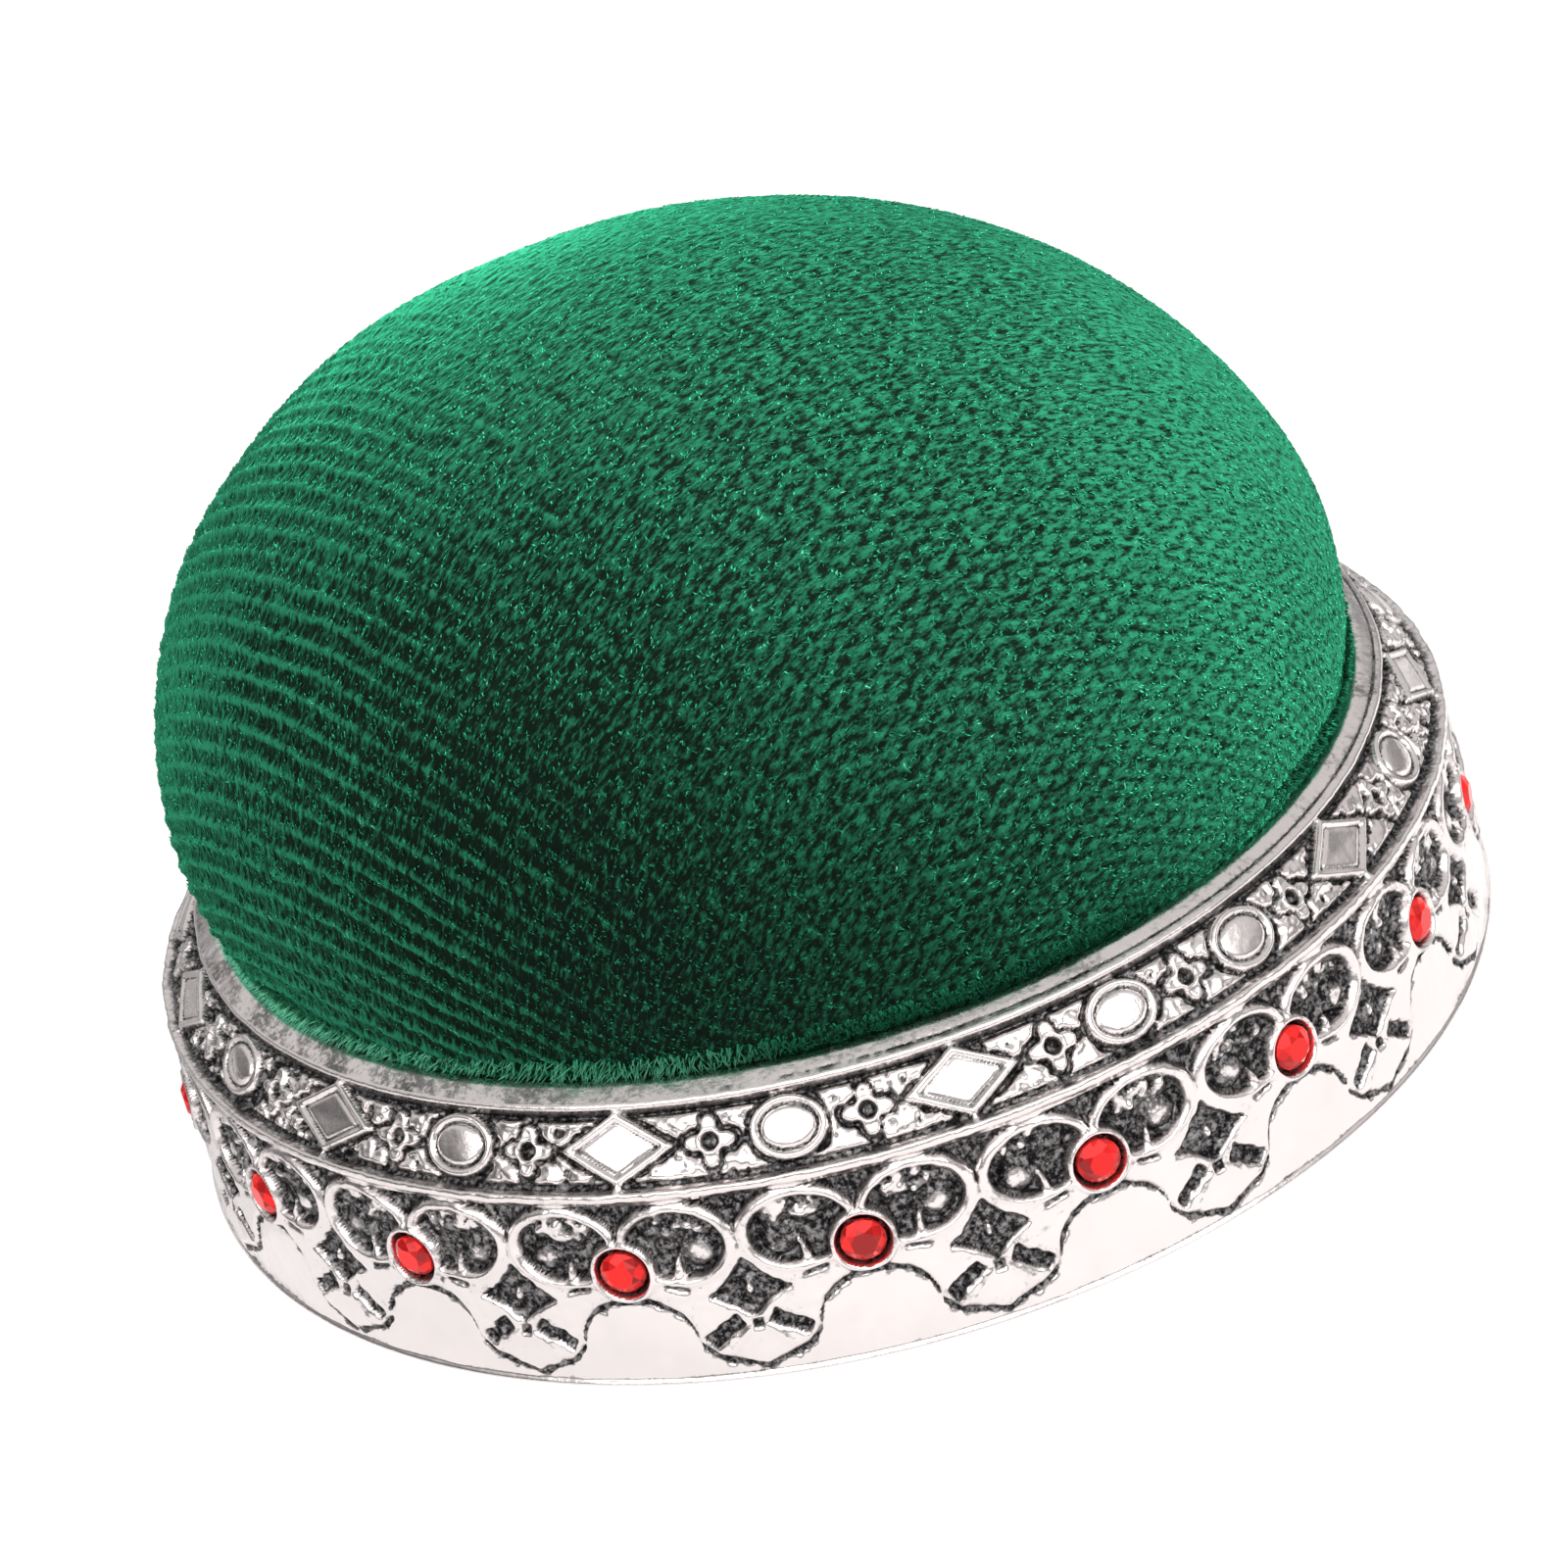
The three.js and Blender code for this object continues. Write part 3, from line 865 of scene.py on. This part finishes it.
# The pile: short tufts rooted in the cloth, combed towards the foot of the dome and leaning every
# way a little. Each is a slim three-sided spike.
TUFTS = 48000
rng = np.random.default_rng(61)
spot = rng.uniform(-NECK_REACH, NECK_REACH, (TUFTS * 2, 2))
spot = spot[np.hypot(spot[:, 0], spot[:, 1]) < NECK_REACH - 0.6]
spot = spot[:TUFTS]
index = np.clip(np.round(spot / GRID).astype(int) + steps, 0, size - 1)
root = cover_points[index[:, 0], index[:, 1]]
out = normal[index[:, 0], index[:, 1]]
rib_way = np.gradient(dome, axis=0)[index[:, 0], index[:, 1]]
rib_way /= np.linalg.norm(rib_way, axis=1)[:, None]
side_way = np.cross(out, rib_way)
spot_weave_and_painted_light = (weave_and_painted_light + nap_and_painted_light)[index[:, 0], index[:, 1]]
tuft_length = rng.uniform(0.16, 0.32, len(spot))[:, None]
tuft_width = rng.uniform(0.06, 0.1, len(spot))[:, None]
comb = rng.normal(0.0, 0.7, len(spot)) - 0.9 * ramp(spot[:, 0], 2, 24)
lay = np.cos(comb)[:, None] * rib_way + np.sin(comb)[:, None] * side_way
stand = rng.uniform(0.05, 0.3, len(spot))[:, None]
tip = root + tuft_length * (stand * out + lay)
corners = [
    root - 0.02 * out + tuft_width * (cos(turn) * rib_way + sin(turn) * side_way)
    for turn in (0, 2 * pi / 3, 4 * pi / 3)
]
tuft_points = np.stack([*corners, tip], 1).reshape(-1, 3)
start = 4 * np.arange(len(spot))[:, None]
tuft_faces = np.concatenate([start + f for f in ([[0, 1, 3]], [[1, 2, 3]], [[2, 0, 3]], [[0, 2, 1]])])
pile = new_object("velvet_pile", tuft_points, tuft_faces.tolist())
add_cloth_map(pile, np.repeat(spot, 4, 0) * MM)
# Each tuft takes the cloth's colour number where it grows, painted light and shade included, plus a random
# tone of its own, and is painted lighter at its tip and darker at its root: painted light and shade.
tuft_shade = spot_weave_and_painted_light + rng.normal(-0.1, 0.8, len(spot))
set_attribute(pile, "weave_and_painted_light", np.repeat(tuft_shade, 4) + np.tile([-0.1, -0.1, -0.1, 0.3], len(spot)))
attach(pile, "root")
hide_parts("velvet_cover")

# Round the lip the pile is pressed outwards and lies over the metal, longer where the cloth's
# edge has frayed, and painted paler on that side: painted light on pile that lies in the dome's shade.
FRINGE = 5200
FRAYED_PAINTED_LIGHT_SIDE = radians(-145)
fringe_turn = rng.uniform(0, 2 * pi, FRINGE)
fringe_out = np.stack([np.cos(fringe_turn), np.sin(fringe_turn), 0 * fringe_turn], 1)
fringe_side = np.stack([-np.sin(fringe_turn), np.cos(fringe_turn), 0 * fringe_turn], 1)
fringe_level = rng.uniform(12.85, 13.9, FRINGE)
fringe_radius = np.interp(fringe_level, form_level[::-1], form_radius[::-1]) - 0.04
fringe_root = fringe_radius[:, None] * fringe_out + fringe_level[:, None] * [0, 0, 1]
fringe_length = rng.uniform(0.3, 0.55, FRINGE)[:, None] + 0.1 * np.sin(9 * fringe_turn)[:, None]
fraying_and_painted_light = ramp(np.cos(fringe_turn - FRAYED_PAINTED_LIGHT_SIDE), 0.3, 0.9)
fringe_length *= 0.7 + 0.65 * fraying_and_painted_light[:, None]
slant = rng.normal(0, 0.35, FRINGE)[:, None]
droop = rng.uniform(0.0, 0.6, FRINGE)[:, None]
fringe_tip = fringe_root + fringe_length * (fringe_out + slant * fringe_side - droop * [0, 0, 1])
fringe_tip[:, 2] = np.maximum(fringe_tip[:, 2], 12.92)
fringe_width = rng.uniform(0.035, 0.06, FRINGE)[:, None]
fringe_points = np.stack([
    fringe_root + fringe_width * fringe_side,
    fringe_root - fringe_width * fringe_side,
    fringe_root + fringe_width * [0, 0, 1.2],
    fringe_tip,
], 1).reshape(-1, 3)
start = 4 * np.arange(FRINGE)[:, None]
fringe_faces = np.concatenate([start + f for f in ([[1, 0, 3]], [[2, 1, 3]], [[0, 2, 3]], [[0, 1, 2]])])
fringe = new_object("velvet_fringe", fringe_points, fringe_faces.tolist())
add_cloth_map(fringe, np.repeat(fringe_turn[:, None] * [26, 0] + [0, 40], 4, 0) * MM)
# The fringe is painted pale on its long side, lighter at the tips and darker at the roots: painted light and
# shade.
set_attribute(fringe, "weave_and_painted_light", np.repeat(2.3 * fraying_and_painted_light, 4) + np.tile([-0.2, -0.2, -0.1, 0.2], FRINGE))
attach(fringe, "root")
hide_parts("velvet_cover")

velvet = Finish(
    "green_velvet",
    Roughness=0.9,
    Specular_IOR_Level=0.12,
    Sheen_Weight=1.0,
    Sheen_Roughness=0.25,
    Sheen_Tint=(0.08, 1.0, 0.52, 1),
)
cloth_place = velvet.node("ShaderNodeUVMap", {"uv_map": "cloth"})
strand_place = velvet.node("ShaderNodeMapping", None, {"Vector": cloth_place, "Scale": (0.4, 1.0, 1.0)})
strands = velvet.noise(4200, 2.0, 0.7, strand_place)
tone = velvet.noise(130, 3.0, 0.55, cloth_place)
# The cloth's colour follows its stored numbers and random strands, from dark green in painted shade to light
# green in painted light; above 1.5 it turns pale: a painted highlight on a few tufts and painted light on
# the fringe.
painted_light_and_strands = velvet.ramp(velvet.attribute("weave_and_painted_light") + 5.5 * (strands - 0.5), -0.75, 1.2)
dark_green = velvet.mix(tone, (0.001, 0.006, 0.003), (0.002, 0.011, 0.006))
light_green = velvet.mix(tone, (0.012, 0.16, 0.082), (0.018, 0.215, 0.11))
pale_painted_light = velvet.ramp(velvet.attribute("weave_and_painted_light"), 1.5, 2.0)
lit_green = velvet.mix(pale_painted_light, light_green, (0.16, 0.6, 0.37))
velvet.wear(
    cover,
    pile,
    fringe,
    Base_Color=velvet.mix(painted_light_and_strands, dark_green, lit_green),
    Normal=velvet.bump(strands, 0.00015, 0.7),
)

# ---------------------------------------------------------------------------------------------
# The stones
# Eighteen red foil-backed glass stones, cut with an eight-sided table, eight kites and sixteen
# girdle facets, each dropped into its collar with a spot of cement.

STONE_FACE = 30.0
TABLE_Z = 0.4


def cut_stone():
    """Points of one stone, +Z out of its face: rings of 8 at the table and the kites' corners, 16
    at the girdle, and 8 below, then the point behind. Faces join each ring to the next."""
    eight = np.arange(8) * pi / 4
    sixteen = np.arange(16) * pi / 8
    rings = [(0.56, TABLE_Z, eight), (0.8, 0.24, eight + pi / 8), (0.975, 0.05, sixteen),
             (0.975, -0.1, sixteen), (0.5, -0.42, eight)]
    points = np.concatenate([
        np.stack([r * np.cos(t), r * np.sin(t), np.full(len(t), z)], 1) for r, z, t in rings
    ] + [[[0, 0, -0.7]]])
    table, kite, girdle, back, culet = 0, 8, 16, 48, 56
    faces = [list(range(8))]
    for i in range(8):
        n = (i + 1) % 8
        left, middle, right = girdle + 2 * i, girdle + 2 * i + 1, girdle + (2 * i + 2) % 16
        faces += [[table + i, kite + i, table + n]]
        faces += [[table + n, kite + i, right, kite + n]]
        faces += [[kite + i, left, middle], [kite + i, middle, right]]
        faces += [[left, left + 16, middle + 16, middle], [middle, middle + 16, right + 16, right]]
        faces += [[left + 16, back + i, middle + 16], [middle + 16, back + i, back + n, right + 16]]
        faces += [[back + i, culet, back + n]]
    return points, faces


stone_points, stone_faces = cut_stone()
stone_faces = stone_faces[:1] + [face[::-1] for face in stone_faces[1:]]
glass = Finish("red_crystal", Roughness=0.08, IOR=1.56, Specular_IOR_Level=0.35, Coat_Roughness=0.02)
# The glass glows a little and each facet is painted a random red from dark to bright, more metallic the
# brighter it is: painted reflections and a painted glow.
glass.shader.inputs["Emission Strength"].default_value = 0.3
facet_painted_light = glass.attribute("facet_painted_light")
glass.wear(
    Base_Color=glass.mix(facet_painted_light, (0.1, 0.0, 0.001), (0.95, 0.012, 0.01)),
    Metallic=0.6 * facet_painted_light,
    Emission_Color=glass.mix(facet_painted_light, (0.08, 0.0, 0.0), (1.0, 0.06, 0.055)),
)
stone_rng = np.random.default_rng(71)
for number in range(STONES):
    turn = FIRST_STONE + number * UNIT
    spin = stone_rng.uniform(0, pi / 4)
    tilt = stone_rng.normal(0, 0.05, 2)
    x, y, z = stone_points.T
    x, y = x * cos(spin) - y * sin(spin), x * sin(spin) + y * cos(spin)
    outward = STONE_FACE - TABLE_Z + z + tilt[0] * x + tilt[1] * y
    east = outward * cos(turn) - x * sin(turn)
    north = outward * sin(turn) + x * cos(turn)
    placed = np.stack([east, north, STONE_Z + y], 1)
    stone = new_object(f"red_stone_{number + 1:02d}", placed, stone_faces, smooth=False)
    # A random painted reflection for each facet, from dark to bright.
    shade = stone.data.attributes.new("facet_painted_light", "FLOAT", "FACE")
    shade.data.foreach_set("value", stone_rng.uniform(0.25, 1, len(stone_faces)).astype(np.float32))
    stone.data.materials.append(glass.material)
    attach(stone, "root")
    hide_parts(f"rhinestone_{number + 1:02d}")

# ---------------------------------------------------------------------------------------------
# Floor, light and camera
# A plain white sweep, soft light all round with a large lamp high on the right, and a long lens
# held a little askew.

bpy.ops.mesh.primitive_plane_add(size=6, location=(0, 0, -0.0002))
sweep = bpy.context.object
sweep.name = "floor"
paper = Finish("white_paper", Roughness=0.9)
paper.shader.inputs["Emission Strength"].default_value = 0.93
paper.shader.inputs["Emission Color"].default_value = (1, 1, 1, 1)
paper.wear(sweep, Base_Color=paper.mix(paper.noise(3.0), (0.14, 0.14, 0.14), (0.16, 0.16, 0.16)))
sweep.visible_diffuse = False

# A grey card laid behind keeps the sides of the tray from glaring. Only the metal sees it.
bpy.ops.mesh.primitive_plane_add(size=0.24, location=(-0.03, 0.125, -0.0001), rotation=(0, 0, radians(25)))
flag = bpy.context.object
flag.name = "grey_card"
grey = Finish("grey_card", Roughness=0.9, Emission_Strength=1.0)
back = grey.node("ShaderNodeSeparateXYZ", None, {"Vector": grey.place()}, output="Y")
grey.wear(
    flag,
    Base_Color=grey.mix(grey.noise(3.0), (0.02, 0.02, 0.02), (0.03, 0.03, 0.03)),
    Emission_Color=grey.mix(grey.ramp(back, -0.12, -0.09), (0.9, 0.9, 0.9), (0.34, 0.34, 0.34)),
)
flag.visible_camera = False
flag.visible_diffuse = False
flag.visible_shadow = False

# The room is a tent of white cloth over a dim horizon, and dimmer at the far left.
world = bpy.data.worlds.new("studio")
world.use_nodes = True
sky = world.node_tree.nodes["Background"]
facing = world.node_tree.nodes.new("ShaderNodeTexCoord")
rise = world.node_tree.nodes.new("ShaderNodeSeparateXYZ")
world.node_tree.links.new(facing.outputs["Generated"], rise.inputs["Vector"])


def world_range(value, low, high, dim, full):
    """A strength that goes smoothly from dim to full as value goes from low to high."""
    span = world.node_tree.nodes.new("ShaderNodeMapRange")
    span.interpolation_type = "SMOOTHSTEP"
    world.node_tree.links.new(value, span.inputs["Value"])
    for name, amount in (("From Min", low), ("From Max", high), ("To Min", dim), ("To Max", full)):
        span.inputs[name].default_value = amount
    return span.outputs["Result"]


both = world.node_tree.nodes.new("ShaderNodeMath")
both.operation = "MULTIPLY"
world.node_tree.links.new(world_range(rise.outputs["Z"], 0.08, 0.5, 0.24, 0.72), both.inputs[0])
world.node_tree.links.new(world_range(rise.outputs["X"], -0.95, -0.72, 0.4, 1.0), both.inputs[1])
world.node_tree.links.new(both.outputs["Value"], sky.inputs["Strength"])
sky.inputs["Color"].default_value = (1, 1, 1, 1)
scene.world = world


def area_lamp(name, place, aim, size, power):
    """A soft box, size wide and high, that faces a point."""
    lamp = bpy.data.lights.new(name, "AREA")
    lamp.shape = "RECTANGLE"
    lamp.size, lamp.size_y = size
    lamp.energy = power
    holder = bpy.data.objects.new(name, lamp)
    holder.location = place
    holder.rotation_euler = (Vector(aim) - Vector(place)).to_track_quat("-Z", "Y").to_euler()
    scene.collection.objects.link(holder)
    return holder


# The key lights the cloth from the right, the strip lights its left side, and the card in front is
# there for the metal to reflect.
key = area_lamp("key", (0.4, 0.08, 0.27), (0, 0, 0.015), (0.36, 0.36), 5.9)
key.visible_glossy = False
strip = area_lamp("strip", (-0.42, -0.01, 0.09), (0, 0, 0.02), (0.24, 0.24), 1.65)
strip.visible_glossy = False
card = area_lamp("card", (0.0, -0.42, 0.42), (0, 0, 0.01), (1.3, 0.45), 3.5)
card.visible_diffuse = False

CAMERA_REACH = 281.87
CAMERA_RISE = radians(27.89)
CAMERA_ROLL = radians(-15.21)
CAMERA_AIM = Vector((-0.1, 4.49, 9.0))
LENS_TO_FRAME = 3.9307
backward = Vector((0, -cos(CAMERA_RISE), sin(CAMERA_RISE)))
level_right = Vector((1, 0, 0))
level_up = backward.cross(level_right)
right = cos(CAMERA_ROLL) * level_right + sin(CAMERA_ROLL) * level_up
upward = cos(CAMERA_ROLL) * level_up - sin(CAMERA_ROLL) * level_right
camera_data = bpy.data.cameras.new("camera")
camera_data.sensor_width = 36
camera_data.lens = 36 * LENS_TO_FRAME
camera_data.clip_start = 0.01
camera = bpy.data.objects.new("camera", camera_data)
turned_frame = Matrix((right, upward, backward)).transposed().to_4x4()
camera.matrix_world = Matrix.Translation((CAMERA_AIM + CAMERA_REACH * backward) * MM) @ turned_frame
scene.collection.objects.link(camera)
scene.camera = camera
scene.view_settings.view_transform = "Standard"
